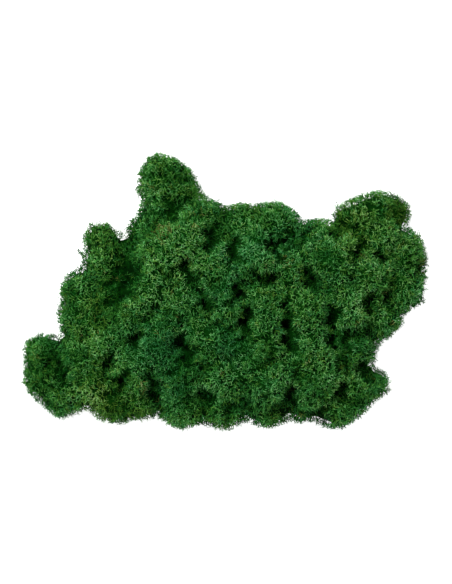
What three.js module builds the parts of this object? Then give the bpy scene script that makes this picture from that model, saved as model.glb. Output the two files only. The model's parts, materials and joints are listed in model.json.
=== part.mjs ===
// A loose clump of preserved reindeer lichen, lying on a flat surface.
// Millimetres, +Z up, +X along the longest side. The clump is a pile of separate heads that only
// interlock. Each head is one closed solid: a dense core that runs down into a bundle of stems, with
// branchlets standing out of it wherever it is open to the air. The heads share one knobbly surface,
// a formula of the place, so they crowd into one cushion and part only along thin gaps.
import * as THREE from 'three';
import { ConvexHull } from 'three/addons/math/ConvexHull.js';

// Driving dimensions
const headGap = 0.3; // clear distance between two neighbouring heads
const branchletLength = 3.2; // from the core of a head to its tips
const tipSpread = 2.2; // how far one tip may stand past or short of the next
const shortestBranchlet = 1.5;
const longestBranchlet = 6; // on a steep side, where the surface runs nearly along the branchlet
const forkRise = 0.8; // how far the forked branchlets stand above the others
const prongLength = 2.4; // the part of a branchlet that is forked
const coreSpacing = 6.4; // between neighbouring points on the open core
const hiddenSpacing = 26; // between points on the sides that neighbours hide
const forkShare = 0.09; // share of the core's open faces with a forked branchlet
const bareShare = 0.15; // share of them with none

// The surface that the heads grow up to
const crownBlend = 3; // how softly neighbouring heads run into each other
const stemShare = 0.87; // radius of the stems under a head, as a share of the head's
const stemDrop = 0.25; // how far below its middle they start, also as a share
const stemBlend = 5.5; // how softly the bundles of stems run into each other
const knobPitch = 17; // from one knob to the next
const knobHeight = 10;
const grainPitch = 9; // from one small knob to the next, on those
const grainHeight = 2.6;
const grainShift = 370; // keeps the small knobs out of step with the large ones
const creaseFoot = 9; // the creases end at this height
const creaseRise = 12; // and have their full depth this far above it
const creaseWaver = 1.6; // how far they wander sideways
const waverLength = 2.1; // length of that wave, divided by 2 pi
const waverPhase = 1.3; // between the wave along x and the wave along y
const reach = 34; // heads further off than this don't change a place

// How the points of a core are spread
const footShare = 0.5; // radius of the flat foot of the stems, as a share of the head's
const footMargin = 0.5; // the foot ends this far short of the walls
const footPoints = 5;
const cornerClearance = 0.2; // least distance between two corner points' directions
const hiddenClearance = 0.4; // the same for the points between the corners
const openMargin = 0.5; // a side is open where its core ends this far short of the neighbour's room
const rimAngles = [-1.2, -0.6, 0, 0.6, 1.2]; // places on the rim of the wall between two heads, from its top
const edgeMargin = 0.1; // an edge point further than this outside another wall is no corner
const farthest = 1.6; // how far from its middle a head may reach, as a share of its radius
const precision = 0.01;
const origin = new THREE.Vector3();
const parallelWalls = 0.2; // walls whose normals cross at less than this sine share no corner
const lowestBranchlet = -0.8; // sine of the lowest slope that still carries branchlets
const neckShare = 0.55; // how far the neck of a fork draws in from its corners to its middle
const prongShare = 0.95; // how far its tips spread to the middles of its sides
const notchDepth = 0.4; // from the top of the neck down to where the prongs part
const wallMargin = 0.02;
const leastPull = 0.5; // of a corner on the middle of its face, against 1.5 at most
const goldenAngle = Math.PI * (3 - Math.sqrt(5));

// Dyed greens, from the deep cushions to the pale and the olive ones
const tones = {
  deep: 0x1b5222,
  leaf: 0x25612a,
  pale: 0x35703a,
  olive: 0x43682a,
};

// Heads: name, centre x, y, z of the crown, radius to its tips, tone
const heads = [
  ['tower_tip', -48.5, 85, 16, 18, 'leaf'],
  ['tower_east', -35, 77, 14, 15.5, 'deep'],
  ['tower_neck', -46.5, 61, 14, 15.5, 'leaf'],
  ['tower_foot', -57, 43.5, 16, 15, 'deep'],
  ['ridge_top', -27, 38, 33, 21.5, 'leaf'],
  ['ridge_upper', -42, 25, 33, 23, 'leaf'],
  ['ridge_lower', -57, 4, 33, 23, 'leaf'],
  ['ridge_end', -71, -17, 30, 19.5, 'leaf'],
  ['spike_tip', -93.5, 38.5, 12, 12.5, 'leaf'],
  ['spike_root', -87, 20, 16, 17, 'deep'],
  ['spike_side', -70, 25, 13, 12.5, 'leaf'],
  ['shoulder_north', -107, 0, 13, 16.5, 'deep'],
  ['shoulder_south', -106, -20, 15, 18, 'pale'],
  ['shoulder_inner', -86, -4, 18, 17, 'deep'],
  ['west_north', -138, -45, 12, 14, 'deep'],
  ['west_tip', -135, -65, 13, 16, 'deep'],
  ['west_inner', -110, -49, 18, 18, 'deep'],
  ['west_foot', -122, -79, 13, 15, 'olive'],
  ['west_south', -98, -68, 17, 17, 'olive'],
  ['west_crown', -87, -39, 26, 19, 'leaf'],
  ['south_one', -83.5, -83.5, 13, 15.5, 'olive'],
  ['south_two', -64, -78, 16, 16.5, 'pale'],
  ['south_three', -32.5, -83.5, 17, 19.5, 'deep'],
  ['south_four', -2, -82, 17, 20, 'deep'],
  ['south_five', 30.5, -84, 14, 17, 'leaf'],
  ['south_six', 55, -79.5, 15, 17, 'deep'],
  ['south_seven', 81.5, -84.5, 15, 18, 'deep'],
  ['heel', 95.5, -72, 17, 17, 'leaf'],
  ['heel_knob', 112, -69, 10, 9.5, 'leaf'],
  ['east_north', 132.5, 27, 16, 18, 'leaf'],
  ['east_tip', 130, 3, 17, 18, 'leaf'],
  ['east_south', 114, -20, 17, 17, 'leaf'],
  ['east_low', 92.5, -42, 22, 18.5, 'leaf'],
  ['horn_west', 95.5, 53, 15, 15.5, 'pale'],
  ['horn_top', 111.5, 60, 14, 15, 'pale'],
  ['horn_tip', 127.5, 60.5, 11, 9, 'olive'],
  ['horn_root', 113, 38, 20, 18.5, 'leaf'],
  ['brow_west', -17, 50, 23, 19, 'deep'],
  ['brow_middle', 12, 47, 25, 18.5, 'leaf'],
  ['brow_east', 36, 48.5, 25, 18.5, 'leaf'],
  ['brow_end', 66, 35, 24, 19, 'deep'],
  ['crown_one', -10, 20, 33, 23, 'leaf'],
  ['crown_two', 21, 25, 35, 23.5, 'leaf'],
  ['crown_three', 49, 19, 30, 22.5, 'leaf'],
  ['crown_four', 81, 22, 33, 23, 'leaf'],
  ['crown_five', 105, 11, 27, 20.5, 'leaf'],
  ['crown_six', -33, -5, 31, 23, 'leaf'],
  ['crown_seven', 0, -6, 34, 23.5, 'leaf'],
  ['crown_eight', 28, -9, 32, 23.5, 'deep'],
  ['crown_nine', 57, -12, 35, 23.5, 'leaf'],
  ['crown_ten', 87, -11, 31, 23, 'pale'],
  ['crown_eleven', -48, -31, 33, 22.5, 'deep'],
  ['crown_twelve', -15, -35, 30, 24.5, 'deep'],
  ['crown_thirteen', 20, -40, 34, 25, 'leaf'],
  ['crown_fourteen', 61, -41, 32, 24.5, 'leaf'],
  ['crown_fifteen', -65, -54, 28, 22.5, 'leaf'],
  ['crown_sixteen', -33, -57, 30, 22.5, 'deep'],
  ['crown_seventeen', 0, -61, 28, 23, 'pale'],
  ['crown_eighteen', 33, -62, 31, 22.5, 'leaf'],
  ['crown_nineteen', 66, -64, 28, 23, 'deep'],
].map(([name, x, y, z, radius, tone]) => ({ name, centre: new THREE.Vector3(x, y, z), radius, tone }));

// Creases between the lobes: from x, y to x, y, width, depth
const creases = [
  [-75, 17, -68, 14, 6, 12], [-68, 14, -73, 1, 7.5, 13], [-73, 1, -82, -8, 6, 10], [-84, 1, -76, 24, 5, 6],
  [-38, 56, -41, 64, 6, 8], [-10, 44, -11, 33, 5.5, 10], [6, 33, 6, 24, 5.5, 10], [-29, 19, -26, 9, 5, 8],
  [-26, 9, -15, -7, 4.5, 6], [-15, -7, -10, -11, 5, 10], [-33, -38, -26, -44, 6, 11],
  [-26, -44, -29, -51, 6, 11], [-29, -51, -42, -60, 4.5, 7], [8, 1, 6, -7, 5, 10],
  [16, -14, 14, -34, 5, 9], [13, -36, 3, -54, 4.5, 6], [22, 11, 32, 7, 5, 7], [32, 33, 38, 25, 4.5, 8],
  [61, 11, 63, 5, 6, 10], [44, -8, 47, -30, 4.5, 8], [47, -30, 47, -42, 5, 11], [79, -13, 77, -22, 5, 9],
  [77, -33, 77, -39, 5, 7], [104, -5, 102, -11, 5, 9], [99, 33, 94, 27, 5.5, 9], [47, 29, 63, 44, 4, 6],
  [80, 40, 83, 43, 4.5, 7], [112, 26, 113, 19, 4.5, 6], [89, -34, 87, -42, 4.5, 7],
  [101, -56, 104, -62, 4.5, 8], [84, -71, 87, -78, 4.5, 8], [47, -73, 49, -81, 4.5, 8],
  [-65, -33, -67, -38, 5, 9], [-55, -63, -51, -75, 5, 9], [-72, -61, -75, -66, 5.5, 9],
  [-120, -57, -122, -66, 4.5, 8], [-86, -54, -84, -49, 4.5, 8], [-15, -75, -11, -78, 5.5, 8],
  [1, -84, 3, -88, 4.5, 7], [-106, -14, -104, -34, 4, 4], [71, -90, 71, -96, 4.5, 7],
  [-14, -26, -5, -25, 4.5, 5], [-21, 13, -24, 1, 4.5, 5], [-57, -22, -49, -11, 4.5, 4],
  [-110, -4, -112, 0, 4.5, 5],
].map(([x1, y1, x2, y2, width, depth]) => ({
  start: new THREE.Vector2(x1, y1),
  run: new THREE.Vector2(x2 - x1, y2 - y1),
  width,
  depth,
}));

// Mounds on the heads: x, y, radius, height
const mounds = [
  [30, -26, 11, 4], [30, -65, 10, 3], [54, -19, 8, 3], [91, -8, 8, 2], [-100, -71, 9, 3],
  [23, 29, 9, 2], [69, 14, 9, 2], [-56, -48, 9, 3], [3, -60, 8, 2], [98, -43, 8, 2],
].map(([x, y, radius, height]) => ({ middle: new THREE.Vector2(x, y), radius, height }));

// Stray sprigs that stand out past the rim: the head they grow from and the place of their tips
const sprigs = [
  ['tower_tip', -67, 74, 16],
  ['tower_tip', -64.5, 88, 20],
  ['tower_east', -27, 91, 18],
  ['tower_foot', -75, 47, 14],
  ['spike_tip', -101, 50, 19],
  ['spike_tip', -110, 31, 13],
  ['shoulder_north', -124, -1, 14],
  ['west_foot', -123, -93, 12],
  ['south_one', -91, -95, 14],
  ['south_two', -53, -95, 13],
  ['heel', 101, -90, 12],
  ['east_north', 147, 24, 16],
  ['east_tip', 147.5, 10, 17],
  ['east_tip', 146, -8, 14],
].map(([head, x, y, z]) => ({ head, tip: new THREE.Vector3(x, y, z) }));

// Repeatable random numbers from 0 to 1
function makeRandom(seed) {
  let state = seed;
  return () => {
    state = (state + 0x6d2b79f5) | 0;
    let mixed = Math.imul(state ^ (state >>> 15), 1 | state);
    mixed = (mixed + Math.imul(mixed ^ (mixed >>> 7), 61 | mixed)) ^ mixed;
    return ((mixed ^ (mixed >>> 14)) >>> 0) / 4294967296;
  };
}

// Points scattered in space, one in each cube of a lattice that repeats after so many cubes
const latticeSize = 16;
const scatter = (() => {
  const random = makeRandom(11);
  return Array.from({ length: latticeSize ** 3 }, () => [random(), random(), random()]);
})();

// Round knobs: from 1 on top of the scattered points down to 0 far from them
function knobsAt(place, pitch, shift) {
  const x = (place.x + shift) / pitch;
  const y = (place.y + shift) / pitch;
  const z = (place.z + shift) / pitch;
  let nearest = 1;
  for (let i = Math.floor(x) - 1; i <= Math.floor(x) + 1; i += 1) {
    for (let j = Math.floor(y) - 1; j <= Math.floor(y) + 1; j += 1) {
      for (let k = Math.floor(z) - 1; k <= Math.floor(z) + 1; k += 1) {
        const wrap = latticeSize - 1;
        const point = scatter[((i & wrap) * latticeSize + (j & wrap)) * latticeSize + (k & wrap)];
        const away = (x - i - point[0]) ** 2 + (y - j - point[1]) ** 2 + (z - k - point[2]) ** 2;
        nearest = Math.min(nearest, away);
      }
    }
  }
  return Math.sqrt(1 - nearest);
}

// How deep the creases cut at a place: the deepest of them, with soft and wavering sides
function creaseDepth(place) {
  const x = place.x + creaseWaver * Math.sin(place.y / waverLength);
  const y = place.y + creaseWaver * Math.sin(place.x / waverLength + waverPhase);
  let deepest = 0;
  for (const { start, run, width, depth } of creases) {
    const share = ((x - start.x) * run.x + (y - start.y) * run.y) / run.lengthSq();
    const held = THREE.MathUtils.clamp(share, 0, 1);
    const aside = Math.hypot(x - start.x - held * run.x, y - start.y - held * run.y) / width;
    deepest = Math.max(deepest, depth * Math.exp(-aside * aside));
  }
  return deepest * THREE.MathUtils.clamp((place.z - creaseFoot) / creaseRise, 0, 1);
}

// How far the relief lies below the round heads
function reliefDepth(place) {
  let depth = creaseDepth(place);
  for (const { middle, radius, height } of mounds) {
    const aside = Math.hypot(place.x - middle.x, place.y - middle.y) / radius;
    depth -= height * Math.exp(-aside * aside);
  }
  depth += knobHeight * (1 - knobsAt(place, knobPitch, 0));
  return depth + grainHeight * (1 - knobsAt(place, grainPitch, grainShift));
}

// Several distances as one, which runs smoothly from each form into the next
function blended(distances, softness) {
  return -softness * Math.log(distances.reduce((sum, each) => sum + Math.exp(-each / softness), 0));
}

// Distance to the surface of the whole clump, less than 0 inside it
function clumpField(place, near) {
  const crowns = [];
  const stems = [];
  for (const head of near) {
    const aside = Math.hypot(place.x - head.centre.x, place.y - head.centre.y);
    crowns.push(place.distanceTo(head.centre) - head.radius);
    stems.push(Math.max(aside - stemShare * head.radius, place.z - head.centre.z + stemDrop * head.radius));
  }
  const crown = blended(crowns, crownBlend) + reliefDepth(place);
  return blended([crown, blended(stems, stemBlend)], crownBlend);
}

// Evenly spread directions, from straight up to straight down
function spreadDirections(count, turn) {
  return Array.from({ length: count }, (_, index) => {
    const z = 1 - (2 * index + 1) / count;
    const ring = Math.sqrt(1 - z * z);
    const angle = turn + index * goldenAngle;
    return new THREE.Vector3(ring * Math.cos(angle), ring * Math.sin(angle), z);
  });
}

// How many evenly spread points lie about `spacing` apart on a sphere
function pointCount(radius, spacing) {
  const areaPerPoint = spacing * spacing * Math.sqrt(3) / 2;
  return Math.round(4 * Math.PI * radius * radius / areaPerPoint);
}

// The planes that part a head from its neighbours: each passes through the circle where the two
// crowns would meet, so the gaps between heads fall where rounded cushions touch
function wallsOf(head) {
  return heads.filter((other) => other !== head).map((other) => {
    const across = other.centre.clone().sub(head.centre);
    const distance = across.length();
    const { radius } = head;
    const middle = (distance * distance + radius * radius - other.radius * other.radius) / (2 * distance);
    return { normal: across.normalize(), distance: middle - headGap / 2 };
  });
}

// How far a ray from the crown's centre runs before it meets a wall or the ground
function roomAlong(head, direction) {
  let room = direction.z < 0 ? head.centre.z / -direction.z : Infinity;
  for (const wall of head.walls) {
    const slope = wall.normal.dot(direction);
    if (slope > 0) room = Math.min(room, wall.distance / slope);
  }
  return room;
}

// How far a line from this start, given from the crown's centre, runs in the clump before it comes
// this near to the surface, or to its limit
function depthReached(head, start, direction, limit, depth) {
  const place = new THREE.Vector3();
  const isInside = (distance) => {
    place.copy(head.centre).add(start).addScaledVector(direction, distance);
    return clumpField(place, head.near) < -depth;
  };
  if (isInside(limit)) return limit;
  let inside = 0;
  let outside = limit;
  while (outside - inside > precision) {
    const middle = (inside + outside) / 2;
    if (isInside(middle)) inside = middle;
    else outside = middle;
  }
  return outside;
}

function distanceAlong(head, direction, depth) {
  const limit = Math.min(roomAlong(head, direction), farthest * head.radius);
  return depthReached(head, origin, direction, limit, depth);
}

function coreAlong(head, direction) {
  return distanceAlong(head, direction, branchletLength);
}

function isOpenAlong(head, direction) {
  return direction.z > lowestBranchlet && coreAlong(head, direction) < roomAlong(head, direction) - openMargin;
}

// Directions of the edges of a head's room: the rims of its walls, and the corners where three heads
// meet, at the surface and half way down
function edgeDirections(head) {
  const near = head.walls.filter((wall) => wall.distance < head.radius);
  const corners = [];
  const addRim = (start, direction) => {
    const rise = depthReached(head, start, direction, head.radius, branchletLength);
    corners.push(start.clone().addScaledVector(direction, rise));
  };
  near.forEach((wall, index) => {
    const up = new THREE.Vector3(0, 0, 1).addScaledVector(wall.normal, -wall.normal.z).normalize();
    const middle = wall.normal.clone().multiplyScalar(wall.distance);
    for (const angle of rimAngles) addRim(middle, up.clone().applyAxisAngle(wall.normal, angle));
    for (const other of near.slice(index + 1)) {
      const line = wall.normal.clone().cross(other.normal);
      const slant = line.length();
      if (slant < parallelWalls) continue;
      line.divideScalar(line.z > 0 ? slant : -slant);
      const cosine = wall.normal.dot(other.normal);
      const scale = 1 / (1 - cosine * cosine);
      const foot = wall.normal.clone().multiplyScalar((wall.distance - cosine * other.distance) * scale)
        .addScaledVector(other.normal, (other.distance - cosine * wall.distance) * scale);
      addRim(foot, line);
      corners.push(foot.clone().addScaledVector(line, -(head.centre.z / 2 + foot.z) / line.z));
    }
  });
  return corners.filter((corner) => {
    const direction = corner.clone().normalize();
    return roomAlong(head, direction) > corner.length() - edgeMargin;
  }).map((corner) => corner.normalize());
}

// How far a head's flat foot runs this way over the ground, from under the middle of its crown
function footReach(head, way) {
  let reached = footShare * head.radius;
  for (const { normal, distance } of head.walls) {
    const slope = normal.dot(way);
    if (slope > 0) reached = Math.min(reached, (distance + normal.z * head.centre.z) / slope - footMargin);
  }
  return reached;
}

// Directions of a head's surface points: close together where it is open, few where it is hidden
function surfaceDirections(head, random) {
  const turn = random() * 2 * Math.PI;
  const open = spreadDirections(pointCount(head.radius - branchletLength, coreSpacing), turn)
    .filter((direction) => isOpenAlong(head, direction));
  const foot = Array.from({ length: footPoints }, (_, index) => {
    const angle = turn + index * 2 * Math.PI / footPoints;
    const way = new THREE.Vector3(Math.cos(angle), Math.sin(angle), 0);
    return way.multiplyScalar(footReach(head, way)).setZ(-head.centre.z).normalize();
  });
  const touches = head.walls.filter((wall) => wall.distance < head.radius).map((wall) => wall.normal);
  const around = spreadDirections(pointCount(head.radius, hiddenSpacing), turn + 1);
  const closed = [];
  const addClear = (directions, clearance) => {
    for (const direction of directions) {
      const isClear = (other) => other.distanceTo(direction) > clearance;
      if (closed.every(isClear) && open.every(isClear)) closed.push(direction);
    }
  };
  addClear([...edgeDirections(head), ...foot], cornerClearance);
  addClear([...touches, ...around], hiddenClearance);
  return [...open.map((direction) => ({ direction, open: true })),
    ...closed.map((direction) => ({ direction, open: isOpenAlong(head, direction) }))];
}

// The triangles that join directions on the unit sphere, wound outwards
function sphereFaces(points) {
  const vectors = points.map((point) => point.direction);
  const hull = new ConvexHull().setFromPoints(vectors);
  return hull.faces.map((face) => {
    const corners = [];
    let edge = face.edge;
    do {
      corners.push(points[vectors.indexOf(edge.head().point)]);
      edge = edge.next;
    } while (edge !== face.edge);
    return corners;
  });
}

// A point along a ray, kept inside the head's own room
function placeAlong(head, direction, distance) {
  return direction.clone().multiplyScalar(Math.min(distance, roomAlong(head, direction) - wallMargin));
}

// A direction part of the way from one to another
function between(from, to, share) {
  return from.clone().lerp(to, share).normalize();
}

function addSpike(triangles, places, tip) {
  places.forEach((place, side) => triangles.push([place, places[(side + 1) % 3], tip]));
}

// A forked branchlet on a triangle of the core: a tapered neck that splits into three prongs
function addFork(triangles, head, corners, centre, tipHeight, random) {
  const neckHeight = tipHeight - prongLength;
  const neck = corners.map((corner) => {
    return placeAlong(head, between(corner.direction, centre, neckShare), neckHeight);
  });
  const notch = placeAlong(head, centre, neckHeight - notchDepth);
  corners.forEach((corner, side) => {
    const next = (side + 1) % 3;
    const middle = between(corner.direction, corners[next].direction, 0.5);
    const tip = placeAlong(head, between(centre, middle, prongShare), tipHeight + tipSpread * (random() - 0.5));
    triangles.push([corner.place, corners[next].place, neck[next]], [corner.place, neck[next], neck[side]]);
    addSpike(triangles, [neck[side], neck[next], notch], tip);
  });
}

function buildHead(head, index) {
  const random = makeRandom(index + 1);
  head.walls = wallsOf(head);
  head.near = heads.filter((other) => other.centre.distanceTo(head.centre) < head.radius + reach);
  const points = surfaceDirections(head, random);
  for (const point of points) {
    point.place = point.direction.clone().multiplyScalar(coreAlong(head, point.direction));
  }
  const ownSprigs = sprigs.filter((sprig) => sprig.head === head.name)
    .map((sprig) => sprig.tip.clone().sub(head.centre));
  const triangles = [];
  for (const corners of sphereFaces(points)) {
    const centre = new THREE.Vector3();
    for (const corner of corners) centre.addScaledVector(corner.direction, leastPull + random());
    centre.normalize();
    const sprig = ownSprigs.find((tip) => {
      return corners.every((corner, side) => {
        return corner.direction.clone().cross(corners[(side + 1) % 3].direction).dot(tip) > 0;
      });
    });
    const core = coreAlong(head, centre);
    const surface = distanceAlong(head, centre, 0) + tipSpread * (random() - 0.5);
    const tipHeight = THREE.MathUtils.clamp(surface, core + shortestBranchlet, core + longestBranchlet);
    const isOpen = isOpenAlong(head, centre) && corners.some((corner) => corner.open);
    const draw = random();
    if (sprig) {
      addFork(triangles, head, corners, sprig.clone().normalize(), sprig.length(), random);
    } else if (isOpen && draw < forkShare) {
      addFork(triangles, head, corners, centre, tipHeight + forkRise, random);
    } else if (isOpen && draw < 1 - bareShare) {
      addSpike(triangles, corners.map((corner) => corner.place), placeAlong(head, centre, tipHeight));
    } else {
      triangles.push(corners.map((corner) => corner.place));
    }
  }
  const positions = new Float32Array(triangles.flat().flatMap((point) => point.toArray()));
  const geometry = new THREE.BufferGeometry();
  geometry.setAttribute('position', new THREE.BufferAttribute(positions, 3));
  geometry.computeVertexNormals();
  const material = new THREE.MeshStandardMaterial({
    color: tones[head.tone],
    roughness: 0.9,
    metalness: 0,
    flatShading: true,
  });
  const mesh = new THREE.Mesh(geometry, material);
  mesh.name = head.name;
  mesh.position.copy(head.centre);
  return mesh;
}

// The clump stands on z = 0 with the middle of its outline at the origin
const clump = new THREE.Group();
clump.name = 'lichen_clump';
heads.forEach((head, index) => clump.add(buildHead(head, index)));
clump.updateMatrixWorld(true);
const box = new THREE.Box3().setFromObject(clump, true);
clump.position.set(-(box.min.x + box.max.x) / 2, -(box.min.y + box.max.y) / 2, -box.min.z);
clump.updateMatrixWorld(true);

export default clump;
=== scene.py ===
# A clump of preserved reindeer lichen on a pale floor, seen from straight above.
# Metres, +Z up. The heads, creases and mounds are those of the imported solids, and this file dresses
# each head in forked branchlets.
import json
import math

import bmesh
import bpy
import numpy as np
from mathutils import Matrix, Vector, kdtree


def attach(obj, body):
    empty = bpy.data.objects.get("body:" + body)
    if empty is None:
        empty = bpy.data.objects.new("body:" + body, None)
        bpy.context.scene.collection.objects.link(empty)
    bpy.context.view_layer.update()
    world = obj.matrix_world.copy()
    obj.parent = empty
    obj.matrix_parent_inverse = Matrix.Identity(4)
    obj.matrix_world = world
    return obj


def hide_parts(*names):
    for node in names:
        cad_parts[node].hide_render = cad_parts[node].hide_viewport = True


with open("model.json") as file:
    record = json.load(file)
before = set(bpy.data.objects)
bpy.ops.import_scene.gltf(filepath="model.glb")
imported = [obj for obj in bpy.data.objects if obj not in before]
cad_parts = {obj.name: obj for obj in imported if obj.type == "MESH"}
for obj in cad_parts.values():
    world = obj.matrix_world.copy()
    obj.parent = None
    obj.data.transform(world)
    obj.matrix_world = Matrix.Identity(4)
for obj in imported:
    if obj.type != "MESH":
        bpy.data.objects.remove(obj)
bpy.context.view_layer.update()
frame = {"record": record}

mm = 0.001

# Camera: straight above, far enough off that the lens hardly widens the top
shot = {
    "middle": (0.56 * mm, -0.28 * mm, 30 * mm),
    "distance": 1.3,  # from the middle, in metres
    "height": 429.2 * mm,  # what the long side of the picture takes in at the middle
    "sensor": 36.0,
}


def makeCamera():
    data = bpy.data.cameras.new("camera")
    data.sensor_width = shot["sensor"]
    data.lens = shot["sensor"] * shot["distance"] / shot["height"]
    data.dof.use_dof = False
    camera = bpy.data.objects.new("camera", data)
    x, y, z = shot["middle"]
    camera.location = (x, y, z + shot["distance"])
    bpy.context.scene.collection.objects.link(camera)
    bpy.context.scene.camera = camera


makeCamera()
print("camera ready")


# One socket of a shader tree. Arithmetic on it adds Math nodes.
class Wire:
    def __init__(self, tree, socket=None):
        self.tree = tree
        self.socket = socket

    def node(self, kind, settings=None, output=0, **inputs):
        made = self.tree.nodes.new(kind)
        for name, value in (settings or {}).items():
            if name == "stops":
                self.setStops(made.color_ramp, value)
            else:
                setattr(made, name, value)
        for name, value in inputs.items():
            key = int(name[1:]) if name[0] == "i" and name[1:].isdigit() else name
            self.feed(made.inputs[key], value)
        return Wire(self.tree, made.outputs[output])

    def setStops(self, ramp, stops):
        while len(ramp.elements) < len(stops):
            ramp.elements.new(1.0)
        for element, (place, colour) in zip(ramp.elements, stops):
            element.position = place
            element.color = (*colour, 1.0)

    def feed(self, socket, value):
        if isinstance(value, Wire):
            self.tree.links.new(value.socket, socket)
        else:
            socket.default_value = value

    def maths(self, operation, first, second):
        return self.node("ShaderNodeMath", {"operation": operation}, i0=first, i1=second)

    def __sub__(self, other):
        return self.maths("SUBTRACT", self, other)

    def __rsub__(self, other):
        return self.maths("SUBTRACT", other, self)

    def __mul__(self, other):
        return self.maths("MULTIPLY", self, other)

    def __rmul__(self, other):
        return self.maths("MULTIPLY", other, self)

    def __pow__(self, other):
        return self.maths("POWER", self, other)

    def __rpow__(self, other):
        return self.maths("POWER", other, self)


# Lichen finish. The map OFBake holds the tint across it and, up it, the paleness from root to tip times
# the light and shade painted into each sprig, so that low on the map lies painted shade.
finish = {
    "tints": [
        (0.0, (0.058, 0.350, 0.140)),
        (0.3, (0.070, 0.440, 0.120)),
        (0.55, (0.110, 0.505, 0.085)),
        (0.8, (0.230, 0.505, 0.055)),
        (1.0, (0.300, 0.250, 0.070)),
    ],
    # Colours low on the map, near black to dark green: painted shade at the roots of the sprigs, in shaded
    # places and on the cores
    "paintedShade": [(0.0, (0.0, 0.001, 0.0)), (0.11, (0.001, 0.044, 0.001))],
    "tip": (0.360, 0.605, 0.290),
    "tipShare": 0.65,
    "bodyRise": 1.65,  # powers of the paleness, with which the body and the tip come in
    "tipRise": 6.0,
    "roughness": (0.95, 0.25),  # at the root, and how much less at the tip
    "shine": 0.03,
    "grainScale": 90.0,
    "grainDetail": 3.0,
    "bump": 0.25,
    "bumpHeight": 0.2 * mm,
    "mapRange": (0.02, 0.97),  # part of the map that the sprigs use
}


def makeFinish(name):
    material = bpy.data.materials.new(name)
    material.use_nodes = True
    tree = material.node_tree
    surface = tree.nodes["Principled BSDF"]
    wire = Wire(tree)
    spot = wire.node("ShaderNodeUVMap", {"uv_map": "OFBake"})
    tint = wire.node("ShaderNodeSeparateXYZ", Vector=spot)
    height = wire.node("ShaderNodeSeparateXYZ", output=1, Vector=spot)
    body = wire.node("ShaderNodeValToRGB", {"stops": finish["tints"]}, Fac=tint)
    blend = {"data_type": "RGBA"}
    # The painted shade at the bottom of the map
    root = wire.node("ShaderNodeValToRGB", {"stops": finish["paintedShade"]}, Fac=height)
    grown = height ** finish["bodyRise"]
    colour = wire.node("ShaderNodeMix", blend, output=2, i0=grown, i6=root, i7=body)
    pale = height ** finish["tipRise"] * finish["tipShare"]
    colour = wire.node("ShaderNodeMix", blend, output=2, i0=pale, i6=colour, i7=(*finish["tip"], 1.0))
    grain = wire.node(
        "ShaderNodeTexNoise", Vector=spot, Scale=finish["grainScale"], Detail=finish["grainDetail"]
    )
    bump = wire.node(
        "ShaderNodeBump", Height=grain, Strength=finish["bump"], Distance=finish["bumpHeight"]
    )
    most, less = finish["roughness"]
    wire.feed(surface.inputs["Base Color"], colour)
    wire.feed(surface.inputs["Roughness"], most - less * height)
    wire.feed(surface.inputs["Normal"], bump)
    surface.inputs["Specular IOR Level"].default_value = finish["shine"]
    return material


slots = [entry["slot"] for entry in frame["record"]["materials"]]
finishes = {name: makeFinish(name) for name in slots}
print("finishes ready:", ", ".join(finishes))


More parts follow.
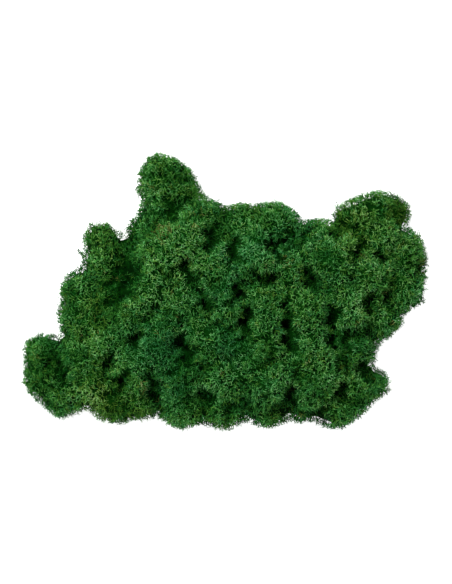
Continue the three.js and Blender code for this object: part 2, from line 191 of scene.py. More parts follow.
# Heads: name, middle of the crown and radius to its tips in mm, and tone, as the solids have them
headTable = [
    ("tower_tip", -48.5, 85, 16, 18, "leaf"),
    ("tower_east", -35, 77, 14, 15.5, "deep"),
    ("tower_neck", -46.5, 61, 14, 15.5, "leaf"),
    ("tower_foot", -57, 43.5, 16, 15, "deep"),
    ("ridge_top", -27, 38, 33, 21.5, "leaf"),
    ("ridge_upper", -42, 25, 33, 23, "leaf"),
    ("ridge_lower", -57, 4, 33, 23, "leaf"),
    ("ridge_end", -71, -17, 30, 19.5, "leaf"),
    ("spike_tip", -93.5, 38.5, 12, 12.5, "leaf"),
    ("spike_root", -87, 20, 16, 17, "deep"),
    ("spike_side", -70, 25, 13, 12.5, "leaf"),
    ("shoulder_north", -107, 0, 13, 16.5, "deep"),
    ("shoulder_south", -106, -20, 15, 18, "pale"),
    ("shoulder_inner", -86, -4, 18, 17, "deep"),
    ("west_north", -138, -45, 12, 14, "deep"),
    ("west_tip", -135, -65, 13, 16, "deep"),
    ("west_inner", -110, -49, 18, 18, "deep"),
    ("west_foot", -122, -79, 13, 15, "olive"),
    ("west_south", -98, -68, 17, 17, "olive"),
    ("west_crown", -87, -39, 26, 19, "leaf"),
    ("south_one", -83.5, -83.5, 13, 15.5, "olive"),
    ("south_two", -64, -78, 16, 16.5, "pale"),
    ("south_three", -32.5, -83.5, 17, 19.5, "deep"),
    ("south_four", -2, -82, 17, 20, "deep"),
    ("south_five", 30.5, -84, 14, 17, "leaf"),
    ("south_six", 55, -79.5, 15, 17, "deep"),
    ("south_seven", 81.5, -84.5, 15, 18, "deep"),
    ("heel", 95.5, -72, 17, 17, "leaf"),
    ("heel_knob", 112, -69, 10, 9.5, "leaf"),
    ("east_north", 132.5, 27, 16, 18, "leaf"),
    ("east_tip", 130, 3, 17, 18, "leaf"),
    ("east_south", 114, -20, 17, 17, "leaf"),
    ("east_low", 92.5, -42, 22, 18.5, "leaf"),
    ("horn_west", 95.5, 53, 15, 15.5, "pale"),
    ("horn_top", 111.5, 60, 14, 15, "pale"),
    ("horn_tip", 127.5, 60.5, 11, 9, "olive"),
    ("horn_root", 113, 38, 20, 18.5, "leaf"),
    ("brow_west", -17, 50, 23, 19, "deep"),
    ("brow_middle", 12, 47, 25, 18.5, "leaf"),
    ("brow_east", 36, 48.5, 25, 18.5, "leaf"),
    ("brow_end", 66, 35, 24, 19, "deep"),
    ("crown_one", -10, 20, 33, 23, "leaf"),
    ("crown_two", 21, 25, 35, 23.5, "leaf"),
    ("crown_three", 49, 19, 30, 22.5, "leaf"),
    ("crown_four", 81, 22, 33, 23, "leaf"),
    ("crown_five", 105, 11, 27, 20.5, "leaf"),
    ("crown_six", -33, -5, 31, 23, "leaf"),
    ("crown_seven", 0, -6, 34, 23.5, "leaf"),
    ("crown_eight", 28, -9, 32, 23.5, "deep"),
    ("crown_nine", 57, -12, 35, 23.5, "leaf"),
    ("crown_ten", 87, -11, 31, 23, "pale"),
    ("crown_eleven", -48, -31, 33, 22.5, "deep"),
    ("crown_twelve", -15, -35, 30, 24.5, "deep"),
    ("crown_thirteen", 20, -40, 34, 25, "leaf"),
    ("crown_fourteen", 61, -41, 32, 24.5, "leaf"),
    ("crown_fifteen", -65, -54, 28, 22.5, "leaf"),
    ("crown_sixteen", -33, -57, 30, 22.5, "deep"),
    ("crown_seventeen", 0, -61, 28, 23, "pale"),
    ("crown_eighteen", 33, -62, 31, 22.5, "leaf"),
    ("crown_nineteen", 66, -64, 28, 23, "deep"),
]
shift = np.array([0.562, 0.088, 0.0]) * mm  # moves that list to where the solids stand in the frame

# Creases between the heads: from x, y to x, y, width and depth in mm
creaseTable = [
    (-75, 17, -68, 14, 6, 12), (-68, 14, -73, 1, 7.5, 13), (-73, 1, -82, -8, 6, 10),
    (-84, 1, -76, 24, 5, 6), (-38, 56, -41, 64, 6, 8), (-10, 44, -11, 33, 5.5, 10),
    (6, 33, 6, 24, 5.5, 10), (-29, 19, -26, 9, 5, 8), (-26, 9, -15, -7, 4.5, 6),
    (-15, -7, -10, -11, 5, 10), (-33, -38, -26, -44, 6, 11), (-26, -44, -29, -51, 6, 11),
    (-29, -51, -42, -60, 4.5, 7), (8, 1, 6, -7, 5, 10), (16, -14, 14, -34, 5, 9),
    (13, -36, 3, -54, 4.5, 6), (22, 11, 32, 7, 5, 7), (32, 33, 38, 25, 4.5, 8), (61, 11, 63, 5, 6, 10),
    (44, -8, 47, -30, 4.5, 8), (47, -30, 47, -42, 5, 11), (79, -13, 77, -22, 5, 9),
    (77, -33, 77, -39, 5, 7), (104, -5, 102, -11, 5, 9), (99, 33, 94, 27, 5.5, 9), (47, 29, 63, 44, 4, 6),
    (80, 40, 83, 43, 4.5, 7), (112, 26, 113, 19, 4.5, 6), (89, -34, 87, -42, 4.5, 7),
    (101, -56, 104, -62, 4.5, 8), (84, -71, 87, -78, 4.5, 8), (47, -73, 49, -81, 4.5, 8),
    (-65, -33, -67, -38, 5, 9), (-55, -63, -51, -75, 5, 9), (-72, -61, -75, -66, 5.5, 9),
    (-120, -57, -122, -66, 4.5, 8), (-86, -54, -84, -49, 4.5, 8), (-15, -75, -11, -78, 5.5, 8),
    (1, -84, 3, -88, 4.5, 7), (-106, -14, -104, -34, 4, 4), (71, -90, 71, -96, 4.5, 7),
    (-14, -26, -5, -25, 4.5, 5), (-21, 13, -24, 1, 4.5, 5), (-57, -22, -49, -11, 4.5, 4),
    (-110, -4, -112, 0, 4.5, 5),
]
# Mounds on them: x, y, radius, height in mm
moundTable = [
    (30, -26, 11, 4), (30, -65, 10, 3), (54, -19, 8, 3), (91, -8, 8, 2), (-100, -71, 9, 3),
    (23, 29, 9, 2), (69, 14, 9, 2), (-56, -48, 9, 3), (3, -60, 8, 2), (98, -43, 8, 2),
]

# The form that the heads grow into together
forms = {
    "blend": 3.0 * mm,  # how softly neighbouring heads run into each other
    "stem": 0.87,  # radius of the stems under a head, as a share of the head's
    "stemDrop": 0.25,  # how far below its middle they start, also as a share
    "stemBlend": 5.5 * mm,
    "creaseFoot": 9 * mm,  # the creases end at this height, and have their full depth this far above it
    "creaseRise": 12 * mm,
    "waver": 1.6 * mm,  # how far the creases wander sideways
    "waverLength": 2.1 * mm,  # length of that wave, divided by 2 pi
    "waverPhase": (0.0, 1.3),
    "knobPitch": 17 * mm,
    "knobHeight": 10.0 * mm,
    "grainPitch": 9 * mm,
    "grainHeight": 2.6 * mm,
    "grainShift": 370 * mm,  # keeps the small knobs out of step with the large ones
    "lattice": 16,  # cubes along each side, after which the scattered points repeat
    "seed": 11,
    "reach": 34 * mm,  # heads further off than this don't change a place
    "far": 1.0,  # further than any wall, in metres
    "level": 1e-6,  # slope under which a ray runs along a wall
    "rayLimit": 1.6,  # longest ray from the middle of a head, as a share of its radius
    "raySteps": 12,
    "rayHalvings": 4,
    "slopeStep": 0.6 * mm,
    "feelers": [(2.5 * mm, 0.7), (5 * mm, 0.6), (10 * mm, 0.5), (18 * mm, 0.3)],  # distance and weight
    "feelerLift": 0.8,  # how far they turn upwards from the surface's own direction
    "feelerMost": 1.5,  # sum that shuts all light out
}
headNames = [row[0] for row in headTable]
centres = np.array([row[1:4] for row in headTable]) * mm
radii = np.array([row[4] for row in headTable]) * mm
creases = np.array(creaseTable) * mm
mounds = np.array(moundTable) * mm


# Points scattered in space, one in each cube of a lattice: the ones that the solids' knobs stand on
def scatterPoints(size, state):
    values = []
    for _ in range(3 * size ** 3):
        state = (state + 0x6d2b79f5) & 0xffffffff
        mixed = ((state ^ (state >> 15)) * (1 | state)) & 0xffffffff
        mixed = ((mixed + ((mixed ^ (mixed >> 7)) * (61 | mixed))) & 0xffffffff) ^ mixed
        values.append((mixed ^ (mixed >> 14)) / 2 ** 32)
    return np.array(values).reshape(size, size, size, 3)


scatter = scatterPoints(forms["lattice"], forms["seed"])


tiny = 1e-12  # stands in for a length of 0, which nothing can be divided by


def unit(vectors):
    return vectors / np.maximum(np.linalg.norm(vectors, axis=1, keepdims=True), tiny)


# Two directions square to each of these and to each other
def crossways(directions):
    flattest = np.abs(directions).argmin(1)
    first = unit(np.cross(directions, np.eye(3)[flattest]))
    return first, np.cross(directions, first)


# Round knobs: bulges round points that are scattered in space
def bulges(places, pitch):
    cells = np.floor(places / pitch).astype(int)
    nearest = np.full(len(places), np.inf)
    for step in np.ndindex(3, 3, 3):
        cell = cells + np.array(step) - 1
        point = cell + scatter[tuple((cell % forms["lattice"]).T)]
        nearest = np.minimum(nearest, ((places / pitch - point) ** 2).sum(1))
    return np.sqrt(np.maximum(1 - nearest, 0))


# How deep the creases cut at each place: the deepest of them, with soft and wavering sides
def creaseDepth(places):
    waves = np.sin(places[:, [1, 0]] / forms["waverLength"] + np.array(forms["waverPhase"]))
    flat = places[:, :2] + forms["waver"] * waves
    ends = creases[:, 2:4] - creases[:, 0:2]
    fromStart = flat[:, None] - creases[None, :, 0:2]
    share = np.clip((fromStart * ends).sum(2) / (ends ** 2).sum(1), 0, 1)
    aside = np.linalg.norm(fromStart - share[:, :, None] * ends, axis=2) / creases[:, 4]
    return (creases[:, 5] * np.exp(-aside * aside)).max(1)


# Several distances as one, which runs smoothly from each form into the next
def blended(distances, softness):
    return -softness * np.log(np.exp(-distances / softness).sum(1))


# How far the relief lies below the round heads
def reliefDepth(places):
    share = np.clip((places[:, 2] - forms["creaseFoot"]) / forms["creaseRise"], 0, 1)
    aside = np.hypot(places[:, 0:1] - mounds[:, 0], places[:, 1:2] - mounds[:, 1]) / mounds[:, 2]
    knobs = forms["knobHeight"] * (1 - bulges(places, forms["knobPitch"]))
    grains = forms["grainHeight"] * (1 - bulges(places + forms["grainShift"], forms["grainPitch"]))
    return creaseDepth(places) * share - (mounds[:, 3] * np.exp(-aside * aside)).sum(1) + knobs + grains


# Distance to the surface of the whole clump, less than 0 inside it
def clumpField(places, near):
    away = places[:, None] - centres[near][None]
    balls = np.linalg.norm(away, axis=2) - radii[near]
    aside = np.hypot(away[:, :, 0], away[:, :, 1]) - forms["stem"] * radii[near]
    stems = np.maximum(aside, away[:, :, 2] + forms["stemDrop"] * radii[near])
    crowns = blended(balls, forms["blend"]) + reliefDepth(places)
    return blended(np.stack([crowns, blended(stems, forms["stemBlend"])], 1), forms["blend"])


class Head:
    def __init__(self, index):
        self.name = headNames[index]
        self.centre, self.radius = centres[index], radii[index]
        self.tone = headTable[index][5]
        apart = np.linalg.norm(centres - self.centre, axis=1)
        self.near = np.flatnonzero(apart < self.radius + forms["reach"])
        others = self.near[self.near != index]
        across = centres[others] - self.centre
        apart = np.linalg.norm(across, axis=1)
        self.wallNormals = across / apart[:, None]
        self.wallDistances = (apart ** 2 + self.radius ** 2 - radii[others] ** 2) / (2 * apart)

    # How far a ray from the centre runs before it meets a neighbour's room or the ground
    def room(self, directions):
        far, level = forms["far"], forms["level"]
        slope = directions @ self.wallNormals.T
        walls = np.where(slope > level, self.wallDistances / np.maximum(slope, level), far).min(1)
        down = -directions[:, 2]
        ground = np.where(down > 0, self.centre[2] / np.maximum(down, level), far)
        return np.minimum(walls, ground)

    # How far a ray from the centre runs, inside this room, before it lies less deep in the clump than this
    def meet(self, directions, depth, room):
        limit = np.minimum(room, forms["rayLimit"] * self.radius)
        low, high = limit, limit
        for step in range(forms["raySteps"], 0, -1):
            before, here = limit * (step - 1) / forms["raySteps"], limit * step / forms["raySteps"]
            outside = clumpField(self.centre + directions * here[:, None], self.near) > -depth
            low = np.where(outside, before, low)
            high = np.where(outside, here, high)
        for _ in range(forms["rayHalvings"]):
            middle = (low + high) / 2
            inside = clumpField(self.centre + directions * middle[:, None], self.near) < -depth
            low = np.where(inside, middle, low)
            high = np.where(inside, high, middle)
        return low

    # Values of the clump's field, with its slopes along x, y and z
    def slopes(self, places):
        step = forms["slopeStep"]
        here = clumpField(places, self.near)
        beside = [clumpField(places + step * axis, self.near) - here for axis in np.eye(3)]
        return here, np.stack(beside, 1) / step

    # Which places lie in this head's own room
    def owns(self, places):
        inside = (places - self.centre) @ self.wallNormals.T < self.wallDistances
        return inside.all(1) & (places[:, 2] > 0)

    # How much of the light from above reaches each place
    def openness(self, places, normals):
        shut = np.zeros(len(places))
        up = unit(normals + np.array([0, 0, forms["feelerLift"]]))
        for distance, weight in forms["feelers"]:
            field = clumpField(places + up * distance, self.near)
            shut += weight * np.clip(1 - field / distance, 0, 1)
        return np.clip(1 - shut / forms["feelerMost"], 0, 1)


heads = [Head(index) for index in range(len(headTable))]
print("heads ready:", len(heads))

# A sprig: a strand that forks twice into four bent tips, each strand a closed three-sided tube
sprig = {
    "templates": 20,
    "lengths": (1.6 * mm, 1.9 * mm, 3.1 * mm),  # from the foot, from the first fork and from the second
    "radii": (0.31 * mm, 0.27 * mm, 0.24 * mm),
    "tipRadius": 0.16 * mm,
    "forks": (0.0, 0.50, 0.75),  # radians that the strands turn aside at each fork
    "curl": 0.8,  # radians that a tip turns halfway along
    "lengthSpread": (0.75, 1.25),
    "forkSpread": (0.7, 1.3),
    "curlSpread": (0.4, 1.4),
    "paleSpread": (0.5, 1.18),  # how pale one strand of a sprig is beside the next
    "sideTint": 0.012,  # how much the map shifts from side to side, so that no face is a line on it
    "sidePale": 0.01,
    "seed": 5,
}
tubeSides = 3  # so that the ends of a tube are single triangles


def turned(direction, angle, random):
    side = unit(np.cross(direction, random.normal(size=3))[None])[0]
    return direction * math.cos(angle) + side * math.sin(angle)


# Adds the strand that starts here, after the strands that fork off it
def growStrand(strands, start, direction, step, random):
    points, radii = [start], [sprig["radii"][step]]
    last = len(sprig["lengths"]) - 1
    for fork in range(step, last + 1):
        length = sprig["lengths"][fork] * random.uniform(*sprig["lengthSpread"])
        if fork == last:
            bent = turned(direction, sprig["curl"] * random.uniform(*sprig["curlSpread"]), random)
            points += [points[-1] + direction * length / 2, points[-1] + (direction + bent) * length / 2]
            radii += [(sprig["radii"][last] + sprig["tipRadius"]) / 2, sprig["tipRadius"]]
        else:
            points.append(points[-1] + direction * length)
            radii.append(sprig["radii"][fork + 1])
            angle = sprig["forks"][fork + 1] * random.uniform(*sprig["forkSpread"])
            aside = turned(direction, angle, random)
            growStrand(strands, points[-1], aside, fork + 1, random)
            direction = unit((2 * math.cos(angle) * direction - aside)[None])[0]
    strands.append((points, radii, random.uniform(*sprig["paleSpread"])))


def makeTemplate(random):
    strands = []
    growStrand(strands, np.zeros(3), np.array([0.0, 0.0, 1.0]), 0, random)
    top = max(points[-1][2] for points, radii, light in strands)
    corners, faces, sides, paleness = [], [], [], []
    for points, radii, light in strands:
        start = len(corners)
        across = np.array([1.0, 0.2, 0.1])  # a direction that no strand runs along
        for ring, point in enumerate(points):
            heading = points[min(ring + 1, len(points) - 1)] - points[max(ring - 1, 0)]
            first = unit(np.cross(heading, across)[None])[0]
            second = unit(np.cross(heading, first)[None])[0]
            for side in range(tubeSides):
                angle = side * 2 * math.pi / tubeSides
                corners.append(point + radii[ring] * (first * math.cos(angle) + second * math.sin(angle)))
                sides.append(side)
                # Paler up the sprig: partly its own paler tips, partly painted shade that deepens towards
                # its root
                paleness.append(light * point[2] / top)
        faces.append((start + 2, start + 1, start))
        for ring in range(len(points) - 1):
            base = start + tubeSides * ring
            for side in range(tubeSides):
                after = (side + 1) % tubeSides
                faces.append((base + side, base + after, base + tubeSides + after))
                faces.append((base + side, base + tubeSides + after, base + tubeSides + side))
        end = start + tubeSides * (len(points) - 1)
        faces.append((end, end + 1, end + 2))
    return {
        "corners": np.array(corners) - np.array([0, 0, top]),
        "faces": np.array(faces),
        "sides": np.array(sides),
        "paleness": np.array(paleness),
        "height": top,
    }


sprigRandom = np.random.default_rng(sprig["seed"])
templates = [makeTemplate(sprigRandom) for _ in range(sprig["templates"])]
print("sprig:", len(templates[0]["faces"]), "faces,", round(templates[0]["height"] / mm, 1), "mm")

# Where the sprigs stand on a head, and the core below them
growth = {
    "seed": 100,
    "spacing": 1.88 * mm,  # least distance from one sprig to the next
    "tries": 5,  # how many places are tried for each square of the spacing
    "startRadii": (0.5, 1.25),  # where they start on their way to the surface, as shares of the radius
    "moves": 3,  # steps in which they get there
    "longestMove": 5 * mm,
    "leastSteepness": 0.25,
    "offSurface": 1 * mm,  # places that end further off the surface than this are left out
    "lowest": -0.8,  # and those where the surface faces further down
    "lean": 0.4,  # how far they stray from the surface's own direction
    "scale": (0.75, 1.15),
    "sunk": 1.2 * mm,  # most that a sprig stands lower than the surface
    "proud": 1.4 * mm,  # and higher
    "hidden": 0.5,  # share of the sprigs that stay where no light comes
    "laceThinned": 0.45,  # share of the sprigs that lace lacks
    "laceDepth": 2.0 * mm,  # how much deeper its core lies
    "coreDivisions": 3,
    "coreDepth": 2.7 * mm,
    "coreShade": (0.02, 0.04),  # its least paleness, which keeps it near black as painted shade, and how much is added by chance
    "overlap": 1.2 * mm,  # how far the cores run into each other's rooms
    "coreFoot": -0.2,  # directions that slope down more than this run on to the walls
    "clearance": 0.1 * mm,  # nothing comes lower than this
}

# Regions of another tint and of painted light and shade: x, y, radius in mm, tint, how much, light
# (painted light above 0, painted shade below it, deepest in the creases between the ridge and the spike)
regions = [
    (-34, 36, 18, 0.62, 0.6, 0.15),
    (-51, 16, 18, 0.62, 0.6, 0.15),
    (-70, -11, 12, 0.65, 0.6, 0.1),
    (-94, -15, 18, 0.75, 0.6, 0.05),
    (-91, -81, 20, 0.85, 0.9, 0.25),
    (-63, -87, 12, 0.75, 0.7, 0.0),
    (-43, 76, 22, 0.65, 0.6, 0.05),
    (-40, 56, 12, 0.5, 0.3, -0.25),
    (97, 47, 22, 0.8, 0.7, 0.15),
    (130, 60, 9, 0.9, 0.9, 0.0),
    (122, 10, 20, 0.6, 0.5, 0.15),
    (108, -16, 16, 0.65, 0.6, 0.1),
    (51, 43, 18, 0.4, 0.6, 0.0),
    (36, -91, 8, 0.75, 0.7, 0.0),
    (-47, -44, 20, 0.08, 0.6, -0.15),
    (3, -39, 14, 0.08, 0.6, -0.1),
    (-69, 16, 8, 0.3, 0.4, -0.85),
    (-78, 3, 9, 0.3, 0.4, -0.6),
    (-82, -16, 7, 0.3, 0.3, -0.4),
    (-122, -56, 14, 0.4, 0.4, -0.2),
    (-142, -50, 18, 0.7, 0.5, -0.15),
    (-96, 41, 15, 0.75, 0.6, -0.05),
    (2, -86, 8, 0.3, 0.0, -0.2),
    (4, -56, 10, 0.5, 0.5, 0.3),
    (93, -8, 12, 0.5, 0.4, 0.2),
    (84, -60, 14, 0.4, 0.0, 0.15),
    (-33, -59, 13, 0.3, 0.0, -0.2),
]
# Where dry brown sprigs gather: x, y and radius in mm
browns = [
    (-56, -72, 6), (-46, 45, 8), (-21, 58, 6), (45, 22, 5), (47, -28, 5), (57, -49, 5), (147, 18, 8),
    (-80, 14, 6),
]


# Shares of these round regions at these places
def regionShares(places, table):
    rows = np.array(table)
    away = np.hypot(places[:, 0:1] - rows[:, 0] * mm, places[:, 1:2] - rows[:, 1] * mm) / (rows[:, 2] * mm)
    return np.exp(-away * away), rows


# How the tint of the sprigs, and the light and shade painted into them, run over the clump
toning = {
    "tint": (0.22, 0.38),  # around a patch, and how much more in the middle of it
    "tintPatch": 34 * mm,
    "tintShift": 1700 * mm,  # keeps these patches out of step with the knobs
    "tintUnlike": 0.1,  # how much one sprig's tint differs from the next one's
    "tintMost": 0.85,  # further on, the tints turn brown
    "brown": (0.003, 0.25),  # share of brown sprigs all over, and how much more where they gather
    "light": (0.34, 0.64),  # where least light comes, and how much more where most does
    "lightRise": 1.2,
    "patch": (0.9, 0.2),  # brightness around a patch, and how much more in the middle of it
    "lightPatch": 21 * mm,
    "lightShift": 2900 * mm,
    "unlike": 0.08,  # how much lighter or darker one sprig is than the next
    "creaseShade": (3 * mm, 11 * mm),  # depths of crease where the light starts to fall off and ends
    "leastLight": 0.35,
    "bareShare": 0.12,  # sprigs that stay this pale also in the dark, like bare stems
    "bareLight": 0.7,
}


def tintAt(places, random):
    least, more = toning["tint"]
    tint = least + more * bulges(places + toning["tintShift"], toning["tintPatch"])
    shares, rows = regionShares(places, regions)
    for share, wanted, most in zip(shares.T, rows[:, 3], rows[:, 4]):
        tint = tint + share * most * (wanted - tint)
    tint = np.clip(tint + random.normal(0, toning["tintUnlike"], len(places)), 0, toning["tintMost"])
    everywhere, gathered = toning["brown"]
    brown = everywhere + gathered * regionShares(places, browns)[0].sum(1)
    return np.where(random.random(len(places)) < brown, 1.0, tint)


# How much light is painted into the sprigs: painted shade where little light comes and in deep creases,
# painted light and shade by region, and more or less by patch
def lightAt(places, openness, random):
    shares, rows = regionShares(places, regions)
    least, more = toning["light"]
    around, middle = toning["patch"]
    patch = around + middle * bulges(places + toning["lightShift"], toning["lightPatch"])
    unlike = random.normal(1.0, toning["unlike"], len(places))
    start, end = toning["creaseShade"]
    shaded = np.clip((end - creaseDepth(places)) / (end - start), toning["leastLight"], 1)
    light = least + more * openness ** toning["lightRise"]
    light = light * (1 + shares @ rows[:, 5]) * patch * unlike * shaded
    bare = random.random(len(places)) < toning["bareShare"]
    return np.where(bare, np.maximum(light, toning["bareLight"]), light)


def unitBall(subdivisions):
    ball = bmesh.new()
    bmesh.ops.create_icosphere(ball, subdivisions=subdivisions, radius=1.0)
    ball.verts.index_update()
    corners = np.array([vertex.co for vertex in ball.verts])
    faces = np.array([[vertex.index for vertex in face.verts] for face in ball.faces])
    ball.free()
    return unit(corners), faces


coreDirections, coreFaces = unitBall(growth["coreDivisions"])

# Where the rim is lace that the floor shows through: x, y and radius in mm
laces = [
    (95, 64, 8), (108, 67, 8), (-10, 57, 5), (5, 57, 5), (-141, -75, 6), (49, -94, 6), (78, -97, 7),
    (-110.5, 1, 4),
]


# Which places are left when each has to keep the spacing to those kept before it
def spaced(places, spacing):
    tree = kdtree.KDTree(len(places))
    for index, place in enumerate(places):
        tree.insert(Vector(place), index)
    tree.balance()
    kept = np.ones(len(places), dtype=bool)
    for index, place in enumerate(places):
        if kept[index]:
            for _, other, _ in tree.find_range(Vector(place), spacing):
                kept[other] = kept[other] and other <= index
    return kept


# Where the sprigs of a head stand: scattered round it, drawn on to the surface and spaced out there
def sprigPlaces(head, random):
    count = round(growth["tries"] * 4 * math.pi * head.radius ** 2 / growth["spacing"] ** 2)
    directions = unit(random.normal(size=(count, 3)))
    starts = head.radius * random.uniform(*growth["startRadii"], count)
    places = head.centre + directions * starts[:, None]
    places = places[head.owns(places)]
    longest = growth["longestMove"]
    for _ in range(growth["moves"]):
        value, slopes = head.slopes(places)
        steepness = np.maximum((slopes ** 2).sum(1), growth["leastSteepness"])
        move = np.clip(value / steepness, -longest, longest)
        places = places - slopes * move[:, None]
    value, slopes = head.slopes(places)
    normals = unit(slopes)
    near = np.abs(value) < growth["offSurface"]
    kept = head.owns(places) & near & (normals[:, 2] > growth["lowest"])
    places, normals = places[kept], normals[kept]
    kept = spaced(places, growth["spacing"])
    places, normals = places[kept], normals[kept]
    openness = head.openness(places, normals)
    share = growth["hidden"] + (1 - growth["hidden"]) * openness ** 0.5
    share *= 1 - growth["laceThinned"] * regionShares(places, laces)[0].max(1)
    kept = random.random(len(places)) < share
    return places[kept], normals[kept], openness[kept]


# Stray branchlets at the rim: the head, x and y of the root and of the tip, and z, in mm
strays = [
    ("tower_tip", -62, 77, -68.5, 73, 16),
    ("tower_tip", -60, 86, -65, 88.5, 20),
    ("tower_east", -33, 86, -27, 91, 18),
    ("tower_foot", -66, 44, -73.5, 48.5, 14),
    ("spike_tip", -99, 47, -102, 52, 19),
    ("spike_tip", -102, 23, -111, 31.5, 13),
    ("shoulder_north", -118, -1, -125, -2, 14),
    ("west_foot", -121, -88, -123, -94, 12),
    ("south_one", -89, -91, -91, -96, 14),
    ("south_two", -55, -88, -54, -95.5, 13),
    ("heel", 98, -84, 101, -92, 12),
    ("horn_tip", 131, 62, 136, 65, 12),
    ("east_low", 99, -51, 106, -57, 12),
    ("east_low", 101, -47, 107, -54, 14),
    ("heel", 99, -60, 106, -60, 10),
    ("east_north", 142, 24, 149, 24, 16),
    ("east_tip", 143, 9, 150, 11, 17),
    ("east_tip", 141, -4, 148.5, -7.5, 14),
]
# How their sprigs stand along them
stray = {
    "step": 1.3 * mm,  # length of the branchlet for each group of sprigs
    "group": 3,
    "atRoot": 4,  # sprigs besides those
    "crowding": 0.7,  # under 1, more of them stand near the tip
    "width": 1.0 * mm,
    "taper": (1.2, 0.6),  # width at the root, and how much less at the tip
    "unlike": 0.35,
    "light": (0.5, 1.0),
    "scale": (0.5, 0.8),
}


# Places and directions of the sprigs that make up a head's stray branchlets
def strayAlong(head, random):
    places, axes = [np.zeros((0, 3))], [np.zeros((0, 3))]
    for name, rootX, rootY, tipX, tipY, z in strays:
        if name == head.name:
            root, tip = np.array([rootX, rootY, z]) * mm, np.array([tipX, tipY, z]) * mm
            groups = round(np.linalg.norm(tip - root) / stray["step"])
            count = stray["atRoot"] + stray["group"] * groups
            share = random.uniform(0, 1, (count, 1)) ** stray["crowding"]
            wide, less = stray["taper"]
            wander = random.normal(0, stray["width"], (count, 3)) * (wide - less * share)
            places.append(root + (tip - root) * share + wander)
            axes.append(unit(unit((tip - root)[None]) + random.normal(0, stray["unlike"], (count, 3))))
    return np.concatenate(places), np.concatenate(axes)


# One copy of a sprig for each place, as corners, faces and spots on the map
def plantSprigs(places, axes, scales, tints, light, random):
    spin = random.uniform(0, 2 * math.pi, len(places))
    kinds = random.integers(0, len(templates), len(places))
    corners, faces, spots = [], [], []
    start = 0
    for kind, template in enumerate(templates):
        mine = np.flatnonzero(kinds == kind)
        first, second = crossways(axes[mine])
        turn = spin[mine][:, None]
        across = first * np.cos(turn) + second * np.sin(turn)
        square = second * np.cos(turn) - first * np.sin(turn)
        frames = np.stack([across, square, axes[mine]], 1)
        grown = places[mine][:, None] + scales[mine][:, None, None] * (template["corners"] @ frames)
        grown[:, :, 2] = np.maximum(grown[:, :, 2], growth["clearance"])
        offsets = start + np.arange(len(mine)) * len(template["corners"])
        tint = tints[mine][:, None] + sprig["sideTint"] * (template["sides"] - 1)
        # Up the map: the sprig's paleness from root to tip, times the light and shade painted into it
        pale = template["paleness"] * light[mine][:, None] + sprig["sidePale"] * (template["sides"] == 1)
        corners.append(grown.reshape(-1, 3))
        faces.append((template["faces"][None] + offsets[:, None, None]).reshape(-1, 3))
        spots.append(np.stack([tint, pale], 2).reshape(-1, 2))
        start += len(mine) * len(template["corners"])
    return np.concatenate(corners), np.concatenate(faces), np.concatenate(spots)


# The core that the sprigs of a head stand on, painted near black as the shade deep among them, with its
# spots on the map
def makeCore(head, random):
    room = head.room(coreDirections) + growth["overlap"]
    lace = regionShares(head.centre + coreDirections * head.radius, laces)[0].max(1)
    depth = growth["coreDepth"] + growth["laceDepth"] * lace
    along = head.meet(coreDirections, depth, room)
    walled = clumpField(head.centre + coreDirections * room[:, None], head.near) < -depth
    along = np.where(walled & (coreDirections[:, 2] < growth["coreFoot"]), room, along)
    core = head.centre + coreDirections * along[:, None]
    core[:, 2] = np.maximum(core[:, 2], growth["clearance"])
    least, more = growth["coreShade"]
    shade = least + more * random.random(len(core))
    return core, np.stack([tintAt(core, random), shade], 1)


def growHead(head, index):
    random = np.random.default_rng(growth["seed"] + index)
    places, normals, openness = sprigPlaces(head, random)
    count = len(places)
    light = lightAt(places, openness, random)
    axes = unit(normals + random.normal(0, growth["lean"], (count, 3)))
    places = places + axes * random.uniform(-growth["sunk"], growth["proud"], count)[:, None]
    scales = random.uniform(*growth["scale"], count)
    strayPlaces, strayAxes = strayAlong(head, random)
    places = np.concatenate([places, strayPlaces])
    axes = np.concatenate([axes, strayAxes])
    light = np.concatenate([light, random.uniform(*stray["light"], len(strayPlaces))])
    scales = np.concatenate([scales, random.uniform(*stray["scale"], len(strayPlaces))])
    corners, faces, spots = plantSprigs(places, axes, scales, tintAt(places, random), light, random)
    core, coreSpots = makeCore(head, random)
    return (
        np.concatenate([corners, core]) + shift,
        np.concatenate([faces, coreFaces + len(corners)]),
        np.concatenate([spots, coreSpots]),
    )


def makeMesh(name, corners, faces, spots):
    mesh = bpy.data.meshes.new(name)
    mesh.vertices.add(len(corners))
    mesh.vertices.foreach_set("co", corners.astype(np.float32).ravel())
    mesh.loops.add(faces.size)
    mesh.loops.foreach_set("vertex_index", faces.astype(np.int32).ravel())
    mesh.polygons.add(len(faces))
    mesh.polygons.foreach_set("loop_start", np.arange(0, faces.size, 3, dtype=np.int32))
    layer = mesh.uv_layers.new(name="OFBake")
    spots = np.clip(spots, *finish["mapRange"])[faces.ravel()]
    layer.uv.foreach_set("vector", spots.astype(np.float32).ravel())
    mesh.update()
    mesh.validate()
    mesh.polygons.foreach_set("use_smooth", np.ones(len(faces), dtype=bool))
    return mesh


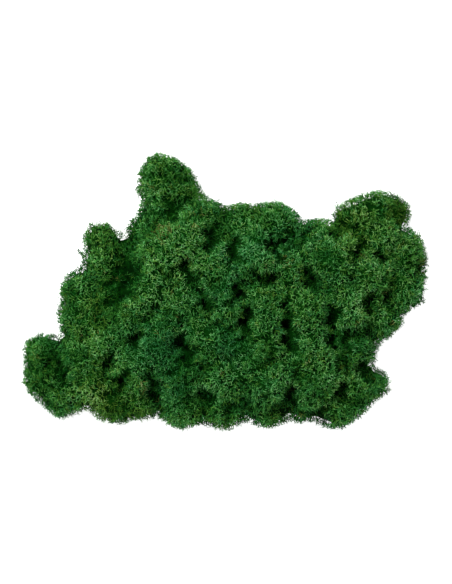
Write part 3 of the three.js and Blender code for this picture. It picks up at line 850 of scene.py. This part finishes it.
total = 0
for index, head in enumerate(heads):
    corners, faces, spots = growHead(head, index)
    mesh = makeMesh(head.name + "_branchlets", corners, faces, spots)
    slotName = "lichen_" + head.tone
    mesh.materials.append(finishes[slotName])
    piece = bpy.data.objects.new(head.name + "_branchlets", mesh)
    bpy.context.scene.collection.objects.link(piece)
    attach(piece, "root")
    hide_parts(head.name)
    total += len(faces)
print("branchlets grown:", total, "faces")

# Floor and light
studio = {
    "floor": 4.0,
    "floorDrop": 0.1 * mm,
    "floorColour": (0.9, 0.9, 0.9, 1.0),
    "floorRoughness": 0.9,
    "floorGlow": 0.9,  # so that no shadow shows on it
    "white": (1.0, 1.0, 1.0, 1.0),
    "world": 0.43,
    "key": 36.0,
    "keyPlace": (-0.55, 0.65, 1.3),
    "keySize": 0.7,
}


def makeStudio():
    half = studio["floor"] / 2
    corners = [(-half, -half, 0), (half, -half, 0), (half, half, 0), (-half, half, 0)]
    mesh = bpy.data.meshes.new("floor")
    mesh.from_pydata(corners, [], [(0, 1, 2, 3)])
    floor = bpy.data.objects.new("floor", mesh)
    floor.location.z = -studio["floorDrop"]
    bpy.context.scene.collection.objects.link(floor)
    paper = bpy.data.materials.new("floorPaper")
    paper.use_nodes = True
    surface = paper.node_tree.nodes["Principled BSDF"]
    surface.inputs["Base Color"].default_value = studio["floorColour"]
    surface.inputs["Roughness"].default_value = studio["floorRoughness"]
    surface.inputs["Emission Color"].default_value = studio["white"]
    surface.inputs["Emission Strength"].default_value = studio["floorGlow"]
    mesh.materials.append(paper)
    world = bpy.data.worlds.new("studio")
    world.use_nodes = True
    sky = world.node_tree.nodes["Background"]
    sky.inputs["Color"].default_value = studio["white"]
    sky.inputs["Strength"].default_value = studio["world"]
    bpy.context.scene.world = world
    data = bpy.data.lights.new("key", "AREA")
    data.shape = "DISK"
    data.size = studio["keySize"]
    data.energy = studio["key"]
    key = bpy.data.objects.new("key", data)
    key.location = studio["keyPlace"]
    key.rotation_euler = (-key.location).to_track_quat("-Z", "Y").to_euler()
    bpy.context.scene.collection.objects.link(key)
    bpy.context.scene.view_settings.view_transform = "Standard"


makeStudio()
print("studio ready")
